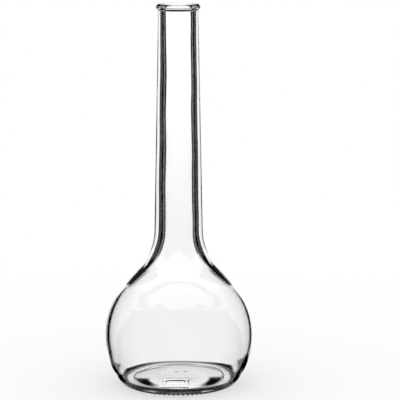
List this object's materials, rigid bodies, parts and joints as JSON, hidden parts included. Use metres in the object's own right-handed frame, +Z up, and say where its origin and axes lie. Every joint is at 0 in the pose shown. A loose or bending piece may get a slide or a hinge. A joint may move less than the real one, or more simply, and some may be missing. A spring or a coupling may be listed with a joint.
{
  "type": "long-necked round bottle",
  "caption": "Clear moulded-glass bottle: beaded mouth for a cork, long thick neck, concave shoulder, round bulb, pushed-up base and knurled foot ring.",
  "frame": {"origin": "middle of the foot ring, on the plane that the bottle stands on", "axes": "+Z up along the bottle's axis, from the base to the mouth; the moulded plaque is towards -Y"},
  "size_m": [0.0956, 0.0956, 0.245],
  "materials": {
    "glass": "clear polished glass"
  },
  "bodies": {
    "root": {"rim_bead": "glass", "neck": "glass", "shoulder": "glass", "bulb": "glass", "base": "glass", "foot_ring": "glass"}
  },
  "joints": []
}
